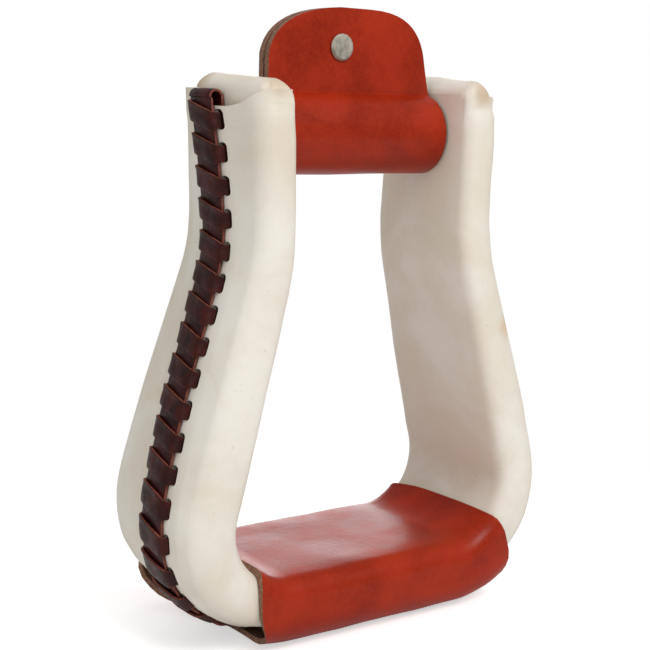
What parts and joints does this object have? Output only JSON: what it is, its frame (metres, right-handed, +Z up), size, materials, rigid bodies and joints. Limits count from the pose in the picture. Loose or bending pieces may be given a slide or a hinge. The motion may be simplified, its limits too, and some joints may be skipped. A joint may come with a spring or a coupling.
{
  "type": "roper stirrup",
  "caption": "Bent-wood riding stirrup in a whip-laced rawhide cover, with a leather-wrapped tread and a riveted neck leather swinging on a cross bolt.",
  "frame": {"origin": "on the ground under the middle of the tread", "axes": "+X along the cross bolt to the right post, +Y from the front of the stirrup to its back, +Z up"},
  "size_m": [0.1756, 0.0696, 0.2324],
  "materials": {
    "wood": "plain bent hardwood",
    "rawhide": "cream rawhide, satin, lightly stained",
    "lace": "dark red-brown latigo, waxed",
    "leather": "russet skirting leather, oiled",
    "steel": "plain zinc steel",
    "rivet": "dull tinned rivet"
  },
  "bodies": {
    "stirrup": {"wood_bow": "wood", "rawhide_cover": "rawhide", "seam_strip": "lace", "left_lace": "lace", "right_lace": "lace", "tread_leather": "leather", "stirrup_bolt": "steel", "bolt_nut": "steel", "head_washer": "steel", "nut_washer": "steel", "spacer_tube": "steel"},
    "neck": {"neck_leather": "leather", "neck_rivet": "rivet", "rivet_burr": "rivet"}
  },
  "joints": [
    {"name": "neck_swing", "type": "hinge", "parent": "stirrup", "child": "neck", "pos_m": [0, 0, 0.1863], "axis": [1, 0, 0], "range_deg": [-90, 90]}
  ]
}
